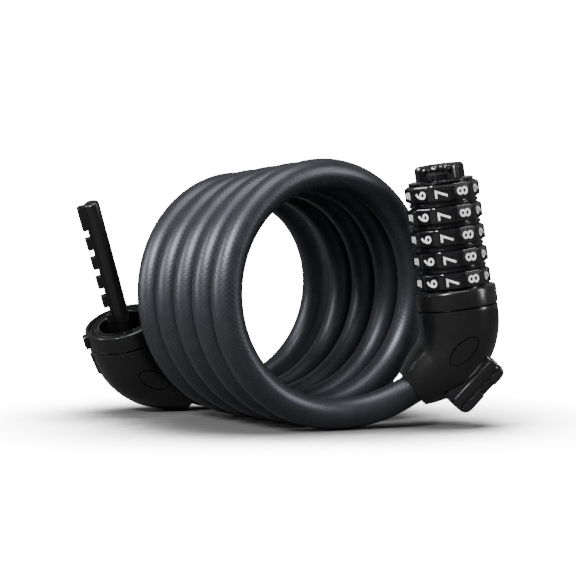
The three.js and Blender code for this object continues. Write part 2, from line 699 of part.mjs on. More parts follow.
class RouteLine extends THREE.Curve {
  constructor(from, to) {
    super();
    this.from = from;
    this.to = to;
  }

  getPoint(share, target = new THREE.Vector3()) {
    return target.copy(routePoint(this.from + (this.to - this.from) * share));
  }
}

function leadTube(from, to) {
  return new THREE.ExtrudeGeometry(new THREE.Shape(circleOutline(CABLE_RADIUS, 12)), {
    steps: 12,
    extrudePath: new RouteLine(from, to),
  });
}
const mouthGap = 0.002; // turns, a little over the gap at a housing's mouth
add(cord, 'cable_lead_head', leadTube(mouthGap, FRONT_LEAD_TURNS), finish.sheath);
add(cord, 'cable_lead_plug', leadTube(COIL_TURNS - REAR_LEAD_TURNS, COIL_TURNS - mouthGap), finish.sheath);

// ---- Origin: bottom centre of the lock head and plug together ----

const lock = new THREE.Group();
lock.add(own, cord);
own.updateMatrixWorld(true);
const box = new THREE.Box3().setFromObject(own, true);
const centre = box.getCenter(new THREE.Vector3());
lock.position.set(-centre.x, -centre.y, -box.min.z);

export default lock;
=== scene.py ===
import json
import math

import bmesh
import bpy
import numpy as np
from mathutils import Matrix, Vector


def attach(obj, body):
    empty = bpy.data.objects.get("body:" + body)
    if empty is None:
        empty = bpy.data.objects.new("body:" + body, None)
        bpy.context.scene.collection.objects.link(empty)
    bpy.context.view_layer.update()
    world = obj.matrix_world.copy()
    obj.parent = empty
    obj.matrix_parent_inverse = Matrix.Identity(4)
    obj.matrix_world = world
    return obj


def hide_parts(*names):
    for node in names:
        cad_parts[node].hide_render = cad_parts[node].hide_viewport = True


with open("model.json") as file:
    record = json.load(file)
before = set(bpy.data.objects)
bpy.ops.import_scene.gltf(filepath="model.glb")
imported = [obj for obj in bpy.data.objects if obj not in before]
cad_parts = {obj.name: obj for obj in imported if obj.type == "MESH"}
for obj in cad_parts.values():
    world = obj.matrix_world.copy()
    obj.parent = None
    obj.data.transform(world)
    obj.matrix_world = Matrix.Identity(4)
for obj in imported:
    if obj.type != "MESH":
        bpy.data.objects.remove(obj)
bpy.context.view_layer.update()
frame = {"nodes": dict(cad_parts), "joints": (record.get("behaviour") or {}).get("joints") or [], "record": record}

# A coiled cable lock: a sheathed cable in five turns, a lock head with five number dials
# on one end and a plug with a notched shank on the other. Lengths are written in
# millimetres and multiplied by MM, so everything Blender gets is in metres.

MM = 0.001
record = frame["record"]
ROOT = "lock_frame"

# ---- Dimensions ----
# They are the CAD source's, but the CAD has one plain ring for the coil's turns, and the
# turns that follow from these numbers are only here.

GAP = 0.3 * MM

CABLE_RADIUS = 6 * MM
COIL_RADIUS = 46.5 * MM
COIL_SHRINK = 0.8 * MM
COIL_DRIFT = 0.3 * MM
COIL_PITCH = 14.3 * MM
COIL_START_Y = -3.9 * MM
COIL_START_ANGLE = -53.8
COIL_TURNS = 5.156
FRONT_SWING = {"turns": 0.22, "side": 1.4 * MM, "along": -10.3 * MM}
REAR_SWING = {"turns": COIL_TURNS - 4, "side": 6.5 * MM, "along": 16.7 * MM}

COLLAR_RADIUS = 16 * MM
COLLAR_HEIGHT = 7.5 * MM
ELBOW_TOP_RADIUS = 15.8 * MM
ELBOW_BEND_RADIUS = 22 * MM
ELBOW_WALL = 3.4 * MM
CABLE_BORE_RADIUS = 6.35 * MM
CABLE_BORE_DEPTH = 12 * MM
OVAL_LENGTH = 14.4 * MM
OVAL_WIDTH = 7.4 * MM
HEAD_SHAPE = {"entry": 25 * MM, "axis": 16.2 * MM, "mouth": 7.8 * MM,
              "oval": (-1.4 * MM, -15.8 * MM, 38)}
PLUG_SHAPE = {"entry": 27 * MM, "axis": 12.4 * MM, "mouth": 9.4 * MM,
              "oval": (-4.2 * MM, -15.3 * MM, 45)}
HEAD_ENTRY = Vector((0.683, -0.382, 0.623)).normalized()
HEAD_AXIS = Vector((-0.128, 0.05, 0.99)).normalized()
PLUG_AXIS = Vector((-0.365, -0.157, 0.918)).normalized()
PLUG_LIFT = 0.06

DIAL_COUNT = 5
DIGIT_COUNT = 10
DIAL_PITCH = 8.5 * MM
DIAL_HEIGHT = 6.6 * MM
SPACER_HEIGHT = 1.3 * MM
DIAL_BASE = COLLAR_HEIGHT + GAP
STACK_TOP = DIAL_BASE + DIAL_COUNT * DIAL_PITCH - SPACER_HEIGHT - 2 * GAP
NOSE_BASE = STACK_TOP + GAP
NOSE_HEIGHT = 0.9 * MM
NOSE_TOP = NOSE_BASE + NOSE_HEIGHT
KNOB_BASE = NOSE_TOP + GAP
KNOB_HEIGHT = 5.6 * MM
KNOB_TOP = KNOB_BASE + KNOB_HEIGHT

LUG_ANGLE = -51
LUG_CENTRE = (2.05 * MM, -29.5 * MM)
LUG_LENGTH = 23.4 * MM
LUG_WIDTH = 20 * MM
LUG_THICKNESS = 11.8 * MM

SHANK_RADIUS = 3.2 * MM
SHANK_RIDGE_REACH = 6 * MM
SHANK_RIDGE_WIDTH = 3.2 * MM
SHANK_LENGTH = 52.8 * MM
NOTCH_HEIGHT = 3.6 * MM
NOTCH_FLOOR = 3.9 * MM
FIRST_NOTCH = 6.4 * MM
CUP_DEPTH = 8.9 * MM


# ---- The cable's route, worked out turn by turn ----

def plain_route(turn):
    radius = COIL_RADIUS - COIL_SHRINK * turn
    angle = math.radians(COIL_START_ANGLE - 360 * turn)
    front = max(0, 1 - turn / FRONT_SWING["turns"]) ** 2
    rear = max(0, 1 - (COIL_TURNS - turn) / REAR_SWING["turns"]) ** 2
    return Vector((
        radius * math.cos(angle) - COIL_DRIFT * turn
        + FRONT_SWING["side"] * front + REAR_SWING["side"] * rear,
        COIL_START_Y + COIL_PITCH * turn
        + FRONT_SWING["along"] * front + REAR_SWING["along"] * rear,
        CABLE_RADIUS + radius * (1 + math.sin(angle)),
    ))


def plain_seam(turn, entry, axis, shape):
    return plain_route(turn) + entry * shape["entry"] + axis * shape["axis"]


# The dials turn about the head's collar seam, which says where the route's origin lies.
dial_joint = next(joint for joint in frame["joints"] if joint["name"] == "dial_1_spin")
ROUTE_ORIGIN = Vector(dial_joint["pos_m"]) - plain_seam(0, HEAD_ENTRY, HEAD_AXIS, HEAD_SHAPE)


def route_point(turn):
    return plain_route(turn) + ROUTE_ORIGIN


def route_direction(turn, step=0.001):
    return (plain_route(turn + step) - plain_route(turn - step)).normalized()


# ---- Camera ----

CAMERA_PLACE = Vector((-565.28, -819.03, 119.7)) * MM + ROUTE_ORIGIN
CAMERA_LOOK = Vector((0.5534, 0.8303, -0.0657))
CAMERA_LENS = 162.1

camera_data = bpy.data.cameras.new("camera")
camera_data.lens = CAMERA_LENS
camera_data.sensor_width = 36
camera = bpy.data.objects.new("camera", camera_data)
camera.location = CAMERA_PLACE
camera.rotation_euler = CAMERA_LOOK.to_track_quat("-Z", "Y").to_euler()
bpy.context.collection.objects.link(camera)
bpy.context.scene.camera = camera


# ---- Materials ----

COAT_ROUGHNESS = 0.12
CLOUD_SPREAD = 0.18
CLOUD_SCALE = 320
CLOUD_DETAIL = 6
ROUGHNESS_SPREAD = 0.05
GRAIN_DETAIL = 3
GRAIN_DEPTH = 0.05 * MM


def new_material(name, colour, roughness, metallic=0.0, coat=0.0, specular=0.5):
    material = bpy.data.materials.new(name)
    material.use_nodes = True
    shader = material.node_tree.nodes["Principled BSDF"]
    shader.inputs["Base Color"].default_value = (*colour, 1)
    shader.inputs["Roughness"].default_value = roughness
    shader.inputs["Metallic"].default_value = metallic
    shader.inputs["Coat Weight"].default_value = coat
    shader.inputs["Coat Roughness"].default_value = COAT_ROUGHNESS
    shader.inputs["Specular IOR Level"].default_value = specular
    return material, material.node_tree, shader


def add_variation(tree, shader, colour, spread, scale, roughness):
    """Cloudy colour and roughness: patches of 3 to 4 mm with finer detail in them."""
    place = tree.nodes.new("ShaderNodeTexCoord")
    noise = tree.nodes.new("ShaderNodeTexNoise")
    noise.inputs["Scale"].default_value = scale
    noise.inputs["Detail"].default_value = CLOUD_DETAIL
    tree.links.new(place.outputs["Object"], noise.inputs["Vector"])
    ramp = tree.nodes.new("ShaderNodeValToRGB")
    ramp.color_ramp.elements[0].position = 0.3
    ramp.color_ramp.elements[1].position = 0.7
    ramp.color_ramp.elements[0].color = (*[c * (1 - spread) for c in colour], 1)
    ramp.color_ramp.elements[1].color = (*[min(1, c * (1 + spread)) for c in colour], 1)
    tree.links.new(noise.outputs["Fac"], ramp.inputs["Fac"])
    tree.links.new(ramp.outputs["Color"], shader.inputs["Base Color"])
    rough = tree.nodes.new("ShaderNodeMapRange")
    rough.inputs["To Min"].default_value = roughness - ROUGHNESS_SPREAD
    rough.inputs["To Max"].default_value = roughness + ROUGHNESS_SPREAD
    tree.links.new(noise.outputs["Fac"], rough.inputs["Value"])
    tree.links.new(rough.outputs["Result"], shader.inputs["Roughness"])
    return place


def add_bump(tree, shader, height, strength, distance):
    bump = tree.nodes.new("ShaderNodeBump")
    bump.inputs["Strength"].default_value = strength
    bump.inputs["Distance"].default_value = distance
    tree.links.new(height, bump.inputs["Height"])
    tree.links.new(bump.outputs["Normal"], shader.inputs["Normal"])


def grained(name, colour, roughness, grain, strength, **look):
    """A moulded or machined surface with fine grain all over."""
    material, tree, shader = new_material(name, colour, roughness, **look)
    place = add_variation(tree, shader, colour, CLOUD_SPREAD, CLOUD_SCALE, roughness)
    fine = tree.nodes.new("ShaderNodeTexNoise")
    fine.inputs["Scale"].default_value = grain
    fine.inputs["Detail"].default_value = GRAIN_DETAIL
    tree.links.new(place.outputs["Object"], fine.inputs["Vector"])
    add_bump(tree, shader, fine.outputs["Fac"], strength, GRAIN_DEPTH)
    return material


BAND = math.pi / 5  # a wave texture's bands are this far apart at scale 1
BRAID_STRANDS = 16
BRAID_PITCH = 1.9 * MM
BRAID_DEPTH = 0.08 * MM
SHEATH_COLOUR = (0.0125, 0.0128, 0.0155)
SHEATH_ROUGHNESS = 0.4
SHEATH_TINT = (0.84, 0.9, 1, 1)


def sheath_material():
    """Soft vinyl over a braid: fine slanted lines both ways round the cable."""
    material, tree, shader = new_material("sheath_vinyl", SHEATH_COLOUR, SHEATH_ROUGHNESS,
                                          specular=0.58)
    shader.inputs["Specular Tint"].default_value = SHEATH_TINT
    add_variation(tree, shader, SHEATH_COLOUR, 0.16, 260, SHEATH_ROUGHNESS)
    around = tree.nodes.new("ShaderNodeUVMap")
    around.uv_map = "route"
    waves = []
    for slant in (1, -1):
        scale = (BRAID_STRANDS * BAND * slant, BAND / BRAID_PITCH, 1)
        mapping = tree.nodes.new("ShaderNodeMapping")
        mapping.inputs["Scale"].default_value = scale
        tree.links.new(around.outputs["UV"], mapping.inputs["Vector"])
        wave = tree.nodes.new("ShaderNodeTexWave")
        wave.wave_type = "BANDS"
        wave.bands_direction = "DIAGONAL"
        wave.inputs["Scale"].default_value = 1
        wave.inputs["Distortion"].default_value = 0.5
        wave.inputs["Detail"].default_value = 1
        tree.links.new(mapping.outputs["Vector"], wave.inputs["Vector"])
        waves.append(wave)
    braid = tree.nodes.new("ShaderNodeMath")
    braid.operation = "MAXIMUM"
    tree.links.new(waves[0].outputs["Fac"], braid.inputs[0])
    tree.links.new(waves[1].outputs["Fac"], braid.inputs[1])
    add_bump(tree, shader, braid.outputs["Value"], 0.3, BRAID_DEPTH)
    shade = tree.nodes.new("ShaderNodeMix")
    shade.data_type = "RGBA"
    shade.blend_type = "MULTIPLY"
    shade.inputs["Factor"].default_value = 1
    clouds = shader.inputs["Base Color"].links[0].from_socket
    depth = tree.nodes.new("ShaderNodeMapRange")
    depth.inputs["To Min"].default_value = 0.7
    depth.inputs["To Max"].default_value = 1.15
    tree.links.new(braid.outputs["Value"], depth.inputs["Value"])
    tree.links.new(clouds, shade.inputs["A"])
    tree.links.new(depth.outputs["Result"], shade.inputs["B"])
    tree.links.new(shade.outputs["Result"], shader.inputs["Base Color"])
    return material


HOUSING_COLOUR = (0.006, 0.0062, 0.0066)
GLOSS_COLOUR = (0.005, 0.005, 0.006)
SHANK_COLOUR = (0.005, 0.005, 0.0048)
STEEL_COLOUR = (0.5, 0.51, 0.53)
BRASS_COLOUR = (0.62, 0.46, 0.2)
PAINT_COLOUR = (0.9, 0.9, 0.88)
# Painted shade: the knob window's matte black, which stands in for the shade inside the window.
WINDOW_SHADE_COLOUR = (0.005, 0.005, 0.005)
materials = {
    "cable_sheath": sheath_material(),
    "housing_black": grained("housing_moulded", HOUSING_COLOUR, 0.23, 2600, 0.1),
    "gloss_black": grained("dial_moulded", GLOSS_COLOUR, 0.17, 1500, 0.05, coat=0.4),
    "shank_black": grained("shank_coating", SHANK_COLOUR, 0.26, 1800, 0.12),
    "steel": grained("bare_steel", STEEL_COLOUR, 0.32, 1400, 0.1, metallic=1.0),
    "brass": grained("bare_brass", BRASS_COLOUR, 0.34, 1400, 0.1, metallic=1.0),
}
digit_paint = grained("digit_paint", PAINT_COLOUR, 0.4, 1200, 0.05)
window_painted_shade = grained("window_painted_shade", WINDOW_SHADE_COLOUR, 0.6, 900, 0.1)


# ---- Mesh helpers ----

SHARP_ANGLE = 32
WELD_DISTANCE = 1e-7


def finish_mesh(name, vertices, faces, slot, frame_matrix, body=ROOT, sharp=SHARP_ANGLE,
                material=None):
    """Makes the piece in place in the frame and lets it ride on its body."""
    mesh = bpy.data.meshes.new(name)
    mesh.from_pydata([tuple(v) for v in vertices], [], faces)
    mesh.transform(frame_matrix)
    mesh.validate()
    piece = bpy.data.objects.new(name, mesh)
    bpy.context.collection.objects.link(piece)
    tidy_normals(mesh, sharp)
    mesh.materials.append(material or materials[slot])
    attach(piece, body)
    return piece


def tidy_normals(mesh, sharp):
    work = bmesh.new()
    work.from_mesh(mesh)
    bmesh.ops.remove_doubles(work, verts=work.verts, dist=WELD_DISTANCE)
    bmesh.ops.recalc_face_normals(work, faces=work.faces)
    work.to_mesh(mesh)
    work.free()
    mesh.shade_smooth()
    mesh.set_sharp_from_angle(angle=math.radians(sharp))


def ring_rows(rows, closed=True):
    """Joins rows of points, each once round, into a skin. Closed joins the last row to the
    first, and otherwise both ends get a face."""
    count = len(rows[0])
    vertices = [point for row in rows for point in row]
    faces = []
    pairs = len(rows) if closed else len(rows) - 1
    for a in range(pairs):
        b = (a + 1) % len(rows)
        for i in range(count):
            j = (i + 1) % count
            faces.append((a * count + i, a * count + j, b * count + j, b * count + i))
    if not closed:
        faces.append(tuple(range(count - 1, -1, -1)))
        faces.append(tuple((len(rows) - 1) * count + i for i in range(count)))
    return vertices, faces


def circle_row(radius, height, count=96):
    return [Vector((radius * math.cos(2 * math.pi * i / count),
                    radius * math.sin(2 * math.pi * i / count), height)) for i in range(count)]


def turned(name, profile, slot, matrix, count=96, **rest):
    """Turns (radius, height) corners about Z into a ring."""
    rows = [circle_row(radius, height, count) for radius, height in profile]
    return finish_mesh(name, *ring_rows(rows), slot, matrix, **rest)


def turned_solid(name, profile, slot, matrix, count=96, **rest):
    """The same for a profile that is closed at both ends by a flat face."""
    rows = [circle_row(radius, height, count) for radius, height in profile]
    return finish_mesh(name, *ring_rows(rows, closed=False), slot, matrix, **rest)


def cut_with(piece, tool_vertices, tool_faces, matrix, operation="DIFFERENCE"):
    """Cuts the piece with a closed shape, or keeps only what lies in it, or adds it. No
    modifier is left behind."""
    mesh = bpy.data.meshes.new("cutting_shape")
    mesh.from_pydata([tuple(v) for v in tool_vertices], [], tool_faces)
    mesh.transform(matrix)
    tidy_normals(mesh, 180)
    tool = bpy.data.objects.new("cutting_shape", mesh)
    bpy.context.collection.objects.link(tool)
    modifier = piece.modifiers.new("cut", "BOOLEAN")
    modifier.operation = operation
    modifier.solver = "EXACT"
    modifier.object = tool
    graph = bpy.context.evaluated_depsgraph_get()
    result = bpy.data.meshes.new_from_object(piece.evaluated_get(graph))
    piece.modifiers.remove(modifier)
    piece.data = result
    result.shade_smooth()
    result.set_sharp_from_angle(angle=math.radians(SHARP_ANGLE))
    bpy.data.objects.remove(tool)
    bpy.data.meshes.remove(mesh)


def prism_rows(outline, low, high):
    rows = [[Vector((x, y, z)) for x, y in outline] for z in (low, high)]
    return ring_rows(rows, closed=False)


def oval_outline(length, width, count=64):
    return [(length / 2 * math.cos(2 * math.pi * i / count),
             width / 2 * math.sin(2 * math.pi * i / count)) for i in range(count)]


def rounded_rectangle(length, width, corner, steps=8):
    points = []
    for x, y, start in ((1, 1, 0), (-1, 1, 90), (-1, -1, 180), (1, -1, 270)):
        for step in range(steps + 1):
            angle = math.radians(start + 90 * step / steps)
            points.append((x * (length / 2 - corner) + corner * math.cos(angle),
                           y * (width / 2 - corner) + corner * math.sin(angle)))
    return points


# ---- Cable ----

TUBE_SIDES = 40
TUBE_STEPS = 640
TUCKED = 2.5 * MM  # how far each end goes on into its housing's bore
END_MARGIN = 0.002  # part of a turn left off at each end
CABLE_SHARP_ANGLE = 60


def make_cable():
    """The whole cable as one tube. Its UV map, which the braid follows, goes once round it
    across and runs up in metres along the route."""
    turns = np.linspace(END_MARGIN, COIL_TURNS - END_MARGIN, TUBE_STEPS + 1)
    points = [route_point(turn) for turn in turns]
    directions = [route_direction(turn) for turn in turns]
    first = points[0] - directions[0] * TUCKED
    last = points[-1] + directions[-1] * TUCKED
    points = [first] + points + [last]
    directions = [directions[0]] + directions + [directions[-1]]
    work = bmesh.new()
    uv = work.loops.layers.uv.new("route")
    rows = []
    along = [0.0]
    for a, b in zip(points, points[1:]):
        along.append(along[-1] + (b - a).length)
    coil_axis = Vector((0, 1, 0))
    for point, direction in zip(points, directions):
        side = coil_axis.cross(direction).normalized()
        other = direction.cross(side)
        rows.append([work.verts.new(point + CABLE_RADIUS * (
            math.cos(2 * math.pi * i / TUBE_SIDES) * side
            + math.sin(2 * math.pi * i / TUBE_SIDES) * other)) for i in range(TUBE_SIDES)])
    for step in range(len(points) - 1):
        for i in range(TUBE_SIDES):
            j = (i + 1) % TUBE_SIDES
            face = work.faces.new((rows[step][i], rows[step][j],
                                   rows[step + 1][j], rows[step + 1][i]))
            corners = ((i, step), (i + 1, step), (i + 1, step + 1), (i, step + 1))
            for loop, (round_step, long_step) in zip(face.loops, corners):
                loop[uv].uv = (round_step / TUBE_SIDES, along[long_step])
    work.faces.new(rows[0])
    work.faces.new(list(reversed(rows[-1])))
    bmesh.ops.recalc_face_normals(work, faces=work.faces)
    mesh = bpy.data.meshes.new("cable")
    work.to_mesh(mesh)
    work.free()
    mesh.shade_smooth()
    mesh.set_sharp_from_angle(angle=math.radians(CABLE_SHARP_ANGLE))
    mesh.materials.append(materials["cable_sheath"])
    cable = bpy.data.objects.new("cable", mesh)
    bpy.context.collection.objects.link(cable)
    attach(cable, ROOT)
    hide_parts("cable_coil", "cable_lead_head", "cable_lead_plug")


make_cable()


# ---- Housing frames and elbows ----

SWELL_POWER = 0.75  # how soon an elbow swells beyond its mouth
ELBOW_EDGE = 0.6 * MM
ELBOW_MOUTH_LIP = 0.9 * MM
ELBOW_STEPS = 44
POCKET_FLOOR = 12.4 * MM
CAP_BACK = 12.6 * MM
POCKET_REACH = 22 * MM
CAP_SUNK = 0.12 * MM
CAP_CLEARANCE = 0.9 * MM


class Housing:
    """The frame of one housing: origin at the collar seam, Z out along the collar's axis and
    X on the outer side of the bend."""

    def __init__(self, exit_point, entry, axis, shape):
        self.shape = shape
        outer = (entry - axis * entry.dot(axis)).normalized()
        side = axis.cross(outer)
        seam = exit_point + entry * shape["entry"] + axis * shape["axis"]
        self.matrix = Matrix.Translation(seam) @ Matrix((outer, side, axis)).transposed().to_4x4()
        self.seam = seam
        bend = entry.angle(axis)
        tangent = ELBOW_BEND_RADIUS * math.tan(bend / 2)
        self.top_leg = shape["axis"] - tangent
        self.arc = ELBOW_BEND_RADIUS * bend
        self.length = self.top_leg + self.arc + shape["entry"] - tangent

    def station(self, distance):
        """The middle line's point this far from the seam, and the bend's outward direction."""
        turned_by = min(max(distance - self.top_leg, 0), self.arc) / ELBOW_BEND_RADIUS
        outward = Vector((math.cos(turned_by), 0, -math.sin(turned_by)))
        down = Vector((-math.sin(turned_by), 0, -math.cos(turned_by)))
        before = min(distance, self.top_leg)
        after = max(0, distance - self.top_leg - self.arc)
        point = (Vector((-ELBOW_BEND_RADIUS, 0, -before))
                 + outward * ELBOW_BEND_RADIUS + down * after)
        return point, outward

    def bent_row(self, radius, distance, count=72):
        point, outward = self.station(distance)
        row = []
        for i in range(count):
            angle = 2 * math.pi * i / count
            row.append(point + outward * (radius * math.cos(angle))
                       + Vector((0, radius * math.sin(angle), 0)))
        return row

    def radius(self, distance):
        from_mouth = max(0, (self.length - distance) / self.length)
        swell = math.sin(math.pi / 2 * from_mouth ** SWELL_POWER)
        mouth = self.shape["mouth"]
        return mouth + (ELBOW_TOP_RADIUS - mouth) * swell


head = Housing(route_point(0), HEAD_ENTRY, HEAD_AXIS, HEAD_SHAPE)
plug_entry = (route_direction(COIL_TURNS) + Vector((0, 0, PLUG_LIFT))).normalized()
plug = Housing(route_point(COIL_TURNS), plug_entry, PLUG_AXIS, PLUG_SHAPE)


def make_elbow(prefix, housing):
    """A hollow elbow from the seam to the cable's mouth, with an oval cap on each side."""
    lip = ELBOW_MOUTH_LIP
    rows = [housing.bent_row(ELBOW_TOP_RADIUS - 0.45 * MM, 0)]
    rows.append(housing.bent_row(ELBOW_TOP_RADIUS - 0.1 * MM, 0.22 * MM))
    for step in range(ELBOW_STEPS + 1):
        distance = ELBOW_EDGE + (housing.length - lip - ELBOW_EDGE) * step / ELBOW_STEPS
        rows.append(housing.bent_row(housing.radius(distance), distance))
    for step in range(1, 6):
        angle = math.radians(18 * step)
        distance = housing.length - lip * (1 - math.sin(angle))
        radius = housing.radius(housing.length - lip) - lip * (1 - math.cos(angle))
        rows.append(housing.bent_row(radius, distance))
    rows.append(housing.bent_row(CABLE_BORE_RADIUS, housing.length - 0.3 * MM))
    rows.append(housing.bent_row(CABLE_BORE_RADIUS, housing.length - CABLE_BORE_DEPTH))
    inside_from = housing.length - CABLE_BORE_DEPTH - 1 * MM
    for step in range(9):
        distance = inside_from * (1 - step / 8)
        rows.append(housing.bent_row(housing.radius(distance) - ELBOW_WALL, distance))
    elbow = finish_mesh(f"{prefix}_elbow_shell", *ring_rows(rows), "housing_black",
                        housing.matrix)
    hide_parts(f"{prefix}_elbow")

    x, z, turn = housing.shape["oval"]
    upright = (Matrix.Translation((x, 0, z)) @ Matrix.Rotation(math.pi / 2, 4, "X")
               @ Matrix.Rotation(math.radians(turn), 4, "Z"))
    body_rows = [housing.bent_row(housing.radius(d) - CAP_SUNK, d)
                 for d in np.linspace(0, housing.length, 46)]
    half_turn = Matrix.Rotation(math.pi, 4, "X")
    for side, flip in (("left", Matrix.Identity(4)), ("right", half_turn)):
        place = housing.matrix @ upright @ flip
        pocket = prism_rows(oval_outline(OVAL_LENGTH, OVAL_WIDTH), POCKET_FLOOR, POCKET_REACH)
        cut_with(elbow, *pocket, place)
        cap = finish_mesh(f"{prefix}_oval_{side}", *ring_rows(body_rows, closed=False),
                          "housing_black", housing.matrix)
        cap_outline = oval_outline(OVAL_LENGTH - CAP_CLEARANCE, OVAL_WIDTH - CAP_CLEARANCE)
        cut_with(cap, *prism_rows(cap_outline, CAP_BACK, POCKET_REACH), place, "INTERSECT")
        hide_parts(f"{prefix}_oval_cap_{side}")


make_elbow("head", head)
make_elbow("plug", plug)


# ---- Lock head: collar, dials, spacers, nose plate, knob and keyhole bush ----

LIP_INNER = 11.4 * MM  # the lips of collar and spacers run between these radii
LIP_OUTER = 12.4 * MM
GAP_LIP = 0.22 * MM  # a lip on each spacer nearly fills the gap to the dial
TURNED_COUNT = 120


def make_head_collar():
    inner = 12.4 * MM
    bore = 5.9 * MM
    bore_low = 5 * MM
    profile = [
        (inner, 0.15 * MM), (15.35 * MM, 0.15 * MM), (15.7 * MM, 0.35 * MM),
        (COLLAR_RADIUS, 0.8 * MM), (COLLAR_RADIUS, COLLAR_HEIGHT - 1 * MM),
        (15.85 * MM, COLLAR_HEIGHT - 0.45 * MM), (15.5 * MM, COLLAR_HEIGHT - 0.12 * MM),
        (15 * MM, COLLAR_HEIGHT), (13.9 * MM, COLLAR_HEIGHT),
        (13.7 * MM, COLLAR_HEIGHT - 0.3 * MM), (12.6 * MM, COLLAR_HEIGHT - 0.3 * MM),
        (LIP_OUTER, COLLAR_HEIGHT + 0.2 * MM), (LIP_INNER, COLLAR_HEIGHT + 0.2 * MM),
        (11.2 * MM, COLLAR_HEIGHT - 0.3 * MM), (bore, COLLAR_HEIGHT - 0.3 * MM),
        (bore, bore_low), (inner, bore_low),
    ]
    collar = turned("head_collar_ring", profile, "housing_black", head.matrix,
                    count=TURNED_COUNT)
    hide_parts("head_collar")


make_head_collar()

# The figure 7 is turned towards the camera's place, 1.5 degrees to one side.
to_camera = head.matrix.to_3x3().transposed() @ (CAMERA_PLACE - head.seam)
CAMERA_TURN = math.degrees(math.atan2(to_camera.y, to_camera.x))
SEVEN_TURN = CAMERA_TURN - 1.5
DIGIT_STEP = 360 / DIGIT_COUNT

# Degrees from a panel's middle, over the panel and then over the ridge that follows it
PANEL_OFFSETS = (-13.2, -10, -6.5, -3, 0, 3, 6.5, 10, 13.2)
RIDGE_BEVEL = 0.15 * MM
RIDGE_OFFSETS = ((14.1, RIDGE_BEVEL), (14.6, 0), (16.3, 0), (18, 0), (19.7, 0), (21.4, 0),
                 (21.9, RIDGE_BEVEL))


def digit_turn(digit):
    return SEVEN_TURN + DIGIT_STEP * (digit - 7)


def dial_row(height, panel, ridge):
    """One outline of the dial: flat panels with a bevelled ridge between each two."""
    row = []
    for digit in range(DIGIT_COUNT):
        middle = digit_turn(digit)
        for offset in PANEL_OFFSETS:
            row.append((middle + offset, panel / math.cos(math.radians(offset))))
        for offset, drop in RIDGE_OFFSETS:
            row.append((middle + offset, ridge - drop))
    return [Vector((radius * math.cos(math.radians(turn)),
                    radius * math.sin(math.radians(turn)), height)) for turn, radius in row]


FIGURE_HEIGHT = 4.9 * MM
FIGURE_THICKNESS = 0.3 * MM
FIGURE_LIFT = 0.02 * MM
FIGURE_WIDENING = 1.02
FIGURE_WEIGHT = 0.011  # fattens the strokes, as a share of the text's size


def digit_mesh(digit):
    """A figure lying in XY, centred, at its real height and with a little thickness."""
    text = bpy.data.curves.new("figure", "FONT")
    text.body = str(digit)
    text.size = 1
    text.offset = FIGURE_WEIGHT
    text.extrude = 0.5
    text.resolution_u = 6
    holder = bpy.data.objects.new("figure", text)
    bpy.context.collection.objects.link(holder)
    graph = bpy.context.evaluated_depsgraph_get()
    mesh = bpy.data.meshes.new_from_object(holder.evaluated_get(graph))
    points = np.array([v.co for v in mesh.vertices])
    low, high = points.min(0), points.max(0)
    scale = FIGURE_HEIGHT / (high[1] - low[1])
    stretch = [scale * FIGURE_WIDENING, scale, FIGURE_THICKNESS]
    points = (points - (low + high) / 2) * stretch
    faces = [tuple(p.vertices) for p in mesh.polygons]
    bpy.data.objects.remove(holder)
    bpy.data.curves.remove(text)
    bpy.data.meshes.remove(mesh)
    return points, faces


FIGURES = [digit_mesh(digit) for digit in range(DIGIT_COUNT)]
PANEL_RADIUS = 13.6 * MM
RIDGE_RADIUS = 14.4 * MM
DIAL_BORE_RADIUS = 10.2 * MM
DIAL_FACE_RADIUS = 12.5 * MM
DIAL_SHOULDER_RADIUS = 13.1 * MM
DIAL_SHARP_ANGLE = 25

# (distance in from a flat end, panel's radius, ridge's radius)
DIAL_EDGE = (
    (0, DIAL_FACE_RADIUS, DIAL_FACE_RADIUS),
    (0.2 * MM, DIAL_SHOULDER_RADIUS - 0.1 * MM, DIAL_SHOULDER_RADIUS),
    (0.45 * MM, DIAL_SHOULDER_RADIUS, DIAL_SHOULDER_RADIUS + 0.1 * MM),
    (0.62 * MM, PANEL_RADIUS - 0.06 * MM, RIDGE_RADIUS - 0.3 * MM),
    (0.85 * MM, PANEL_RADIUS, RIDGE_RADIUS),
)


def make_dial(number):
    body = f"dial_{number}"
    base = DIAL_BASE + (number - 1) * DIAL_PITCH
    top = base + DIAL_HEIGHT
    rows = [dial_row(base + rise, panel, ridge) for rise, panel, ridge in DIAL_EDGE]
    rows += [dial_row(top - rise, panel, ridge) for rise, panel, ridge in reversed(DIAL_EDGE)]
    rows += [dial_row(height, DIAL_BORE_RADIUS, DIAL_BORE_RADIUS + 0.1 * MM)
             for height in (top, base)]
    dial = finish_mesh(f"number_dial_{number}", *ring_rows(rows), "gloss_black", head.matrix,
                       body, DIAL_SHARP_ANGLE)
    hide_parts(f"dial_{number}")

    vertices, faces = [], []
    middle = (base + top) / 2
    for digit, (points, figure_faces) in enumerate(FIGURES):
        turn = math.radians(digit_turn(digit))
        outward = Vector((math.cos(turn), math.sin(turn), 0))
        leftward = Vector((math.sin(turn), -math.cos(turn), 0))
        start = len(vertices)
        for x, y, z in points:
            vertices.append(outward * (PANEL_RADIUS + FIGURE_LIFT + z)
                            + leftward * y + Vector((0, 0, middle + x)))
        faces += [tuple(start + i for i in face) for face in figure_faces]
    finish_mesh(f"dial_figures_{number}", vertices, faces, "gloss_black", head.matrix, body,
                material=digit_paint)


SPACER_RADIUS = 13.4 * MM
NOSE_RADIUS = 12.8 * MM
SPACER_HOLLOW = 5.95 * MM


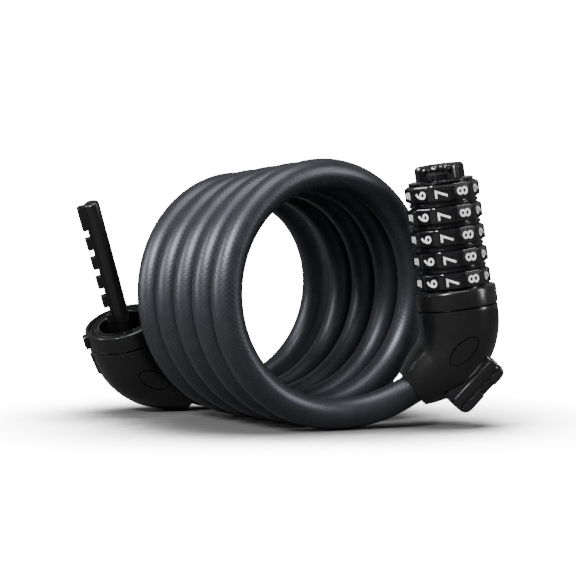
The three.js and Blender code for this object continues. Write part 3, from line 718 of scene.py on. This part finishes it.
def make_spacer(name, base, radius, height, node, lift):
    """A ring with a groove round its edge, and a lip below and, with a lift, above."""
    top = base + height
    middle = (base + top) / 2
    flat = radius - 0.3 * MM
    chamfer = 0.22 * MM
    groove = radius - 0.28 * MM
    profile = [
        (SPACER_HOLLOW, base), (LIP_INNER, base), (LIP_INNER, base - GAP_LIP),
        (LIP_OUTER, base - GAP_LIP), (LIP_OUTER, base), (flat, base), (radius, base + chamfer),
        (radius, middle - 0.2 * MM), (groove, middle - 0.1 * MM),
        (groove, middle + 0.1 * MM), (radius, middle + 0.2 * MM),
        (radius, top - chamfer), (flat, top), (LIP_OUTER, top), (LIP_OUTER, top + lift),
        (LIP_INNER, top + lift), (LIP_INNER, top), (SPACER_HOLLOW, top),
    ]
    spacer = turned(name, profile, "gloss_black", head.matrix, count=TURNED_COUNT)
    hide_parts(node)


for number in range(1, DIAL_COUNT + 1):
    make_dial(number)
    if number < DIAL_COUNT:
        spacer_base = DIAL_BASE + (number - 1) * DIAL_PITCH + DIAL_HEIGHT + GAP
        make_spacer(f"spacer_{number}", spacer_base, SPACER_RADIUS, SPACER_HEIGHT,
                    f"spacer_ring_{number}", GAP_LIP)
make_spacer("nose_plate_ring", NOSE_BASE, NOSE_RADIUS, NOSE_HEIGHT, "nose_plate", 0)

KNOB_RADIUS = 9.6 * MM
KNOB_RIBS = 26
RIB_SAMPLES = 12
RIB_DEPTH = 0.5 * MM
KNOB_BORE_RADIUS = 8 * MM
KNOB_SHARP_ANGLE = 28
WINDOW_LOW = KNOB_TOP - 3.4 * MM
WINDOW_HIGH = KNOB_TOP - 1.8 * MM
WINDOW_EDGE = 0.02 * MM
WINDOW_RADIUS = 8.5 * MM
WINDOW_TURN = -4  # degrees from the camera's turn to the window's middle
WINDOW_HALF = 33


def rib_share(sample):
    """1 on a rib's crest, 0 between ribs, and a half on the slopes."""
    share = (sample % RIB_SAMPLES) / RIB_SAMPLES
    if share < 0.42:
        return 1
    return 0 if 0.54 < share < 0.88 else 0.5


def knob_row(height, radius, rib_depth, window=False):
    row = []
    samples = KNOB_RIBS * RIB_SAMPLES
    for i in range(samples):
        turn = 360 * i / samples
        r = radius - rib_depth * (1 - rib_share(i))
        away = (turn - CAMERA_TURN + 180) % 360 - 180
        if window and abs(away - WINDOW_TURN) < WINDOW_HALF:
            r = min(r, WINDOW_RADIUS)
        row.append(Vector((r * math.cos(math.radians(turn)),
                           r * math.sin(math.radians(turn)), height)))
    return row


def make_knob():
    rows = [
        knob_row(KNOB_BASE, KNOB_RADIUS - 0.3 * MM, RIB_DEPTH),
        knob_row(KNOB_BASE + 0.3 * MM, KNOB_RADIUS, RIB_DEPTH),
        knob_row(WINDOW_LOW - WINDOW_EDGE, KNOB_RADIUS, RIB_DEPTH),
        knob_row(WINDOW_LOW, KNOB_RADIUS, RIB_DEPTH, True),
        knob_row(WINDOW_HIGH, KNOB_RADIUS, RIB_DEPTH, True),
        knob_row(WINDOW_HIGH + WINDOW_EDGE, KNOB_RADIUS, RIB_DEPTH),
        knob_row(KNOB_TOP - 1.2 * MM, KNOB_RADIUS, RIB_DEPTH),
        knob_row(KNOB_TOP - 0.5 * MM, KNOB_RADIUS - 0.35 * MM, RIB_DEPTH),
        knob_row(KNOB_TOP, KNOB_RADIUS - 0.95 * MM, 0.15 * MM),
        knob_row(KNOB_TOP, KNOB_BORE_RADIUS, 0),
        knob_row(KNOB_BASE, KNOB_BORE_RADIUS, 0),
    ]
    knob = finish_mesh("reset_knob_ring", *ring_rows(rows), "gloss_black", head.matrix,
                       "reset_knob", KNOB_SHARP_ANGLE)
    # The window's faces take the matte painted-shade material, so they look darker than the gloss round them.
    knob.data.materials.append(window_painted_shade)
    to_head = head.matrix.inverted()
    deepest = WINDOW_RADIUS + 0.2 * MM
    for face in knob.data.polygons:
        middle = to_head @ face.center
        if WINDOW_LOW < middle.z < WINDOW_HIGH and math.hypot(middle.x, middle.y) < deepest:
            face.material_index = 1
    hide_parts("reset_knob")


make_knob()


# ---- Bracket lug ----

LUG_CORNER = 1.6 * MM
LUG_END_ROUND = 3.2 * MM
LUG_SIDE_ROUND = 1 * MM
LUG_SKIRT = 0.5 * MM
LUG_GROOVE_BELOW_FACE = 3.4 * MM
LUG_GROOVE_HEIGHT = 1.3 * MM
LUG_GROOVE_DEPTH = 1 * MM
LUG_NOTCH_LENGTH = 5.8 * MM
LUG_NOTCH_WIDTH = 6 * MM
LUG_NOTCH_DEPTH = 2.6 * MM
LUG_NOTCH_OFFSET = -1.6 * MM
SCREW_SEAT_DIAMETER = 7.4 * MM
SCREW_SEAT_DEPTH = 3 * MM


def make_lug():
    angle = math.radians(LUG_ANGLE)
    outward = Vector((math.cos(angle), 0, math.sin(angle)))
    side = Vector((0, 1, 0))
    along = side.cross(outward)
    local = Matrix((along, side, outward)).transposed().to_4x4()
    place = head.matrix @ Matrix.Translation((LUG_CENTRE[0], 0, LUG_CENTRE[1])) @ local
    face = LUG_THICKNESS / 2

    def row(height, inset, side_inset=None):
        across = inset if side_inset is None else side_inset
        outline = rounded_rectangle(LUG_LENGTH - 2 * inset, LUG_WIDTH - 2 * across, LUG_CORNER)
        return [Vector((x, y, height)) for x, y in outline]

    groove_top = face - LUG_GROOVE_BELOW_FACE
    groove_low = groove_top - LUG_GROOVE_HEIGHT
    rows = [
        row(-face, LUG_SKIRT), row(groove_low - 3.3 * MM, LUG_SKIRT),
        row(groove_low - 3.1 * MM, 0.1 * MM), row(groove_low - 2.9 * MM, 0),
        row(groove_low - 0.15 * MM, 0), row(groove_low, 0.15 * MM),
        row(groove_low + 0.05 * MM, LUG_GROOVE_DEPTH),
        row(groove_top - 0.05 * MM, LUG_GROOVE_DEPTH),
        row(groove_top, 0.15 * MM), row(groove_top + 0.15 * MM, 0),
    ]
    for step in range(1, 10):
        swing = math.radians(10 * step)
        height = face - LUG_END_ROUND * (1 - math.sin(swing))
        above = max(0, height - (face - LUG_SIDE_ROUND))
        side_inset = LUG_SIDE_ROUND - math.sqrt(LUG_SIDE_ROUND ** 2 - above ** 2)
        rows.append(row(height, LUG_END_ROUND * (1 - math.cos(swing)), side_inset))
    lug = finish_mesh("bracket_lug_block", *ring_rows(rows, closed=False), "gloss_black", place)
    clearance = 0.05 * MM
    envelope = [head.bent_row(head.radius(d) + clearance, d)
                for d in np.linspace(0, head.length, 40)]
    cut_with(lug, *ring_rows(envelope, closed=False), head.matrix)
    outline = rounded_rectangle(LUG_NOTCH_LENGTH, LUG_NOTCH_WIDTH, 0.3 * MM, steps=3)
    notch = prism_rows(outline, -LUG_NOTCH_DEPTH, 2 * MM)
    cut_with(lug, *notch, place @ Matrix.Translation((LUG_NOTCH_OFFSET, -LUG_WIDTH / 2, face)))
    seat = prism_rows(oval_outline(SCREW_SEAT_DIAMETER, SCREW_SEAT_DIAMETER),
                      face - SCREW_SEAT_DEPTH, face + SCREW_SEAT_DEPTH)
    cut_with(lug, *seat, place)
    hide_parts("bracket_lug")


make_lug()


# ---- Plug: collar, cup, shank, tab ----

CUP_FLOOR = COLLAR_HEIGHT - CUP_DEPTH
CUP_FLOOR_THICKNESS = 2.6 * MM
SHANK_HOLE_RADIUS = 3.5 * MM
SHANK_ROOT = 7.2 * MM  # how far the shank goes on below the cup's floor
RIDGE_EDGE = 0.35 * MM
NOTCH_REACH = 9 * MM
NOTCH_HALF_WIDTH = 4 * MM
TAB_THICKNESS = 1.9
TAB_WIDTH = 4


def make_plug_rim():
    rim = 13 * MM
    high = COLLAR_HEIGHT
    profile = [
        (rim, 0.15 * MM), (15.3 * MM, 0.15 * MM), (15.65 * MM, 0.35 * MM),
        (COLLAR_RADIUS, 0.8 * MM), (COLLAR_RADIUS, high - 1 * MM),
        (15.85 * MM, high - 0.4 * MM), (15.5 * MM, high - 0.08 * MM),
        (15.1 * MM, high), (14.6 * MM, high - 0.08 * MM), (14.3 * MM, high - 0.5 * MM),
        (14.1 * MM, high - 1.3 * MM), (13.5 * MM, high - 1.3 * MM), (13.4 * MM, high - 0.6 * MM),
        (rim, high - 0.6 * MM),
    ]
    collar = turned("plug_collar_ring", profile, "housing_black", plug.matrix,
                    count=TURNED_COUNT)
    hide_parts("plug_collar")
    inner = 12.7 * MM
    bottom = CUP_FLOOR - CUP_FLOOR_THICKNESS
    cup_profile = [
        (SHANK_HOLE_RADIUS, bottom), (11.8 * MM, bottom), (11.8 * MM, -0.3 * MM),
        (12.4 * MM, 0.3 * MM), (inner, high - 1.2 * MM), (inner - 0.25 * MM, high - 0.75 * MM),
        (11.9 * MM, high - 0.7 * MM), (11.75 * MM, high - 1.5 * MM), (11.25 * MM, high - 1.5 * MM),
        (11.1 * MM, high - 0.7 * MM), (10.5 * MM, high - 0.6 * MM), (10.1 * MM, high - 0.85 * MM),
        (9.95 * MM, high - 1.4 * MM), (9.9 * MM, CUP_FLOOR + 0.4 * MM), (9.5 * MM, CUP_FLOOR),
        (SHANK_HOLE_RADIUS, CUP_FLOOR),
    ]
    cup = turned("plug_cup_ring", cup_profile, "gloss_black", plug.matrix, count=TURNED_COUNT)
    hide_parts("plug_cup")


def make_shank():
    tip = COLLAR_HEIGHT + SHANK_LENGTH
    base = CUP_FLOOR - SHANK_ROOT
    profile = [
        (SHANK_RADIUS, base), (SHANK_RADIUS, tip - 0.9 * MM),
        (SHANK_RADIUS - 0.2 * MM, tip - 0.5 * MM), (SHANK_RADIUS - 0.6 * MM, tip - 0.15 * MM),
        (SHANK_RADIUS - 0.95 * MM, tip),
    ]
    shank = turned_solid("notched_shank", profile, "shank_black", plug.matrix, count=64)
    ridge_base = CUP_FLOOR + GAP
    ridge_tip = tip - 0.35 * MM
    inside = 1 * MM
    edge = RIDGE_EDGE

    def ridge_row(height, inset):
        reach = SHANK_RIDGE_REACH - inset
        half = SHANK_RIDGE_WIDTH / 2 - inset
        corners = ((inside, -half), (reach - edge, -half), (reach, -half + edge),
                   (reach, half - edge), (reach - edge, half), (inside, half))
        return [Vector((x, y, height)) for x, y in corners]

    ridge = ring_rows([ridge_row(ridge_base, 0), ridge_row(ridge_tip - 0.5 * MM, 0),
                       ridge_row(ridge_tip - 0.15 * MM, 0.2 * MM), ridge_row(ridge_tip, 0.5 * MM)],
                      closed=False)
    cut_with(shank, *ridge, plug.matrix, "UNION")
    for notch in range(DIAL_COUNT):
        height = COLLAR_HEIGHT + FIRST_NOTCH + notch * DIAL_PITCH
        outline = [(NOTCH_FLOOR, -NOTCH_HALF_WIDTH), (NOTCH_REACH, -NOTCH_HALF_WIDTH),
                   (NOTCH_REACH, NOTCH_HALF_WIDTH), (NOTCH_FLOOR, NOTCH_HALF_WIDTH)]
        tool = prism_rows(outline, height - NOTCH_HEIGHT / 2, height + NOTCH_HEIGHT / 2)
        cut_with(shank, *tool, plug.matrix)
    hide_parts("plug_shank")


def make_tab():
    middle = (COLLAR_RADIUS + 0.55 * MM, 0, COLLAR_HEIGHT - 4 * MM)
    place = plug.matrix @ Matrix.Translation(middle)
    rows = []
    for height, inset in ((-2.8, 0.5), (-2.5, 0.15), (-2.2, 0), (2.2, 0), (2.5, 0.15), (2.8, 0.5)):
        outline = rounded_rectangle((TAB_THICKNESS - inset) * MM, (TAB_WIDTH - 2 * inset) * MM,
                                    0.5 * MM, steps=4)
        rows.append([Vector((x, y, height * MM)) for x, y in outline])
    tab = finish_mesh("index_tab", *ring_rows(rows, closed=False), "housing_black", place)
    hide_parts("plug_index_tab")


def make_strip():
    """A short raised strip down the outer side of the plug's elbow."""
    lengthwise = ((2.2, -0.6), (2.4, 0.35), (2.8, 0.6), (7.2, 0.6), (7.6, 0.35), (7.8, -0.6))
    crosswise = ((-2, 1.2), (-2, 0.2), (-1.7, 0), (1.7, 0), (2, 0.2), (2, 1.2))
    rows = []
    for distance, rise in lengthwise:
        centre, outward = plug.station(distance * MM)
        reach = plug.radius(distance * MM)
        row = []
        for across, drop in crosswise:
            out = reach + (rise - drop) * MM
            row.append(centre + outward * out + Vector((0, across * MM, 0)))
        rows.append(row)
    finish_mesh("side_strip", *ring_rows(rows, closed=False), "housing_black", plug.matrix)


make_plug_rim()
make_shank()
make_tab()
make_strip()


# ---- Materials of the CAD nodes that stay ----

slot_of = {part["node"]: part["material_slot"] for part in record["subparts"]}
for node, piece in frame["nodes"].items():
    piece.data.materials.clear()
    piece.data.materials.append(materials[slot_of[node]])


# ---- Floor, light ----

WHITE = 22  # strength of what the camera sees as pure white
ROOM_LIGHT = 0.24
FLOOR_HALF = 30
FLOOR_COLOUR = (0.12, 0.12, 0.12)
SHADOW_REACH = 0.11
SHADOW_POWER = 9
SHADOW_SAMPLES = 16


def make_floor():
    """A grey floor that glows white for the camera only, with a painted shadow: it glows less where the lock is
    near.
    """
    mesh = bpy.data.meshes.new("floor")
    half = FLOOR_HALF
    mesh.from_pydata([(-half, -half, 0), (half, -half, 0), (half, half, 0), (-half, half, 0)],
                     [], [(0, 1, 2, 3)])
    floor = bpy.data.objects.new("floor", mesh)
    bpy.context.collection.objects.link(floor)
    material, tree, shader = new_material("floor_white", FLOOR_COLOUR, 0.9, specular=0.0)
    # Painted shadow: ambient occlusion dims the floor's glow near the lock.
    close = tree.nodes.new("ShaderNodeAmbientOcclusion")
    close.samples = SHADOW_SAMPLES
    close.inputs["Distance"].default_value = SHADOW_REACH
    depth = tree.nodes.new("ShaderNodeMath")
    depth.operation = "POWER"
    depth.inputs[1].default_value = SHADOW_POWER
    tree.links.new(close.outputs["AO"], depth.inputs[0])
    seen = tree.nodes.new("ShaderNodeLightPath")
    glow = tree.nodes.new("ShaderNodeMath")
    glow.operation = "MULTIPLY"
    tree.links.new(depth.outputs["Value"], glow.inputs[0])
    tree.links.new(seen.outputs["Is Camera Ray"], glow.inputs[1])
    strength = tree.nodes.new("ShaderNodeMath")
    strength.operation = "MULTIPLY"
    strength.inputs[1].default_value = WHITE
    tree.links.new(glow.outputs["Value"], strength.inputs[0])
    shader.inputs["Emission Color"].default_value = (1, 1, 1, 1)
    tree.links.new(strength.outputs["Value"], shader.inputs["Emission Strength"])
    mesh.materials.append(material)


def add_area(name, place, aim, size, power, size_y):
    data = bpy.data.lights.new(name, "AREA")
    data.size = size
    if size_y:
        data.shape = "RECTANGLE"
        data.size_y = size_y
    data.energy = power
    lamp = bpy.data.objects.new(name, data)
    lamp.location = place
    lamp.rotation_euler = (aim - place).to_track_quat("-Z", "Y").to_euler()
    bpy.context.collection.objects.link(lamp)


make_floor()

# Lamps stand this far in metres to the right of the lock's middle, towards the camera from
# it and above it. All aim at the middle.
LAMP_AIM = Vector((0, -0.01, 0.05))
RIGHT = Vector((0.832, -0.555, 0))
TOWARD = Vector((-0.555, -0.832, 0))
UP = Vector((0, 0, 1))
LAMPS = (
    ("soft_top", (0, 0.15, 0.8), 0.5, 5, None),
    ("key", (-0.5, 0.7, 0.6), 0.26, 17, 0.26),
    ("rim_left", (-0.85, 0.1, 0.3), 0.12, 5, 0.5),
    ("rim_right", (0.8, 0.2, 0.35), 0.12, 4, 0.5),
)
for name, (across, near, high), size, power, size_y in LAMPS:
    place = LAMP_AIM + RIGHT * across + TOWARD * near + UP * high
    add_area(name, place, LAMP_AIM, size, power, size_y)


def make_world():
    """A dim white room. The camera alone sees it as pure white."""
    world = bpy.data.worlds.new("studio")
    world.use_nodes = True
    tree = world.node_tree
    background = tree.nodes["Background"]
    background.inputs["Color"].default_value = (1, 1, 1, 1)
    seen = tree.nodes.new("ShaderNodeLightPath")
    strength = tree.nodes.new("ShaderNodeMapRange")
    strength.inputs["To Min"].default_value = ROOM_LIGHT
    strength.inputs["To Max"].default_value = WHITE
    tree.links.new(seen.outputs["Is Camera Ray"], strength.inputs["Value"])
    tree.links.new(strength.outputs["Result"], background.inputs["Strength"])
    bpy.context.scene.world = world


make_world()
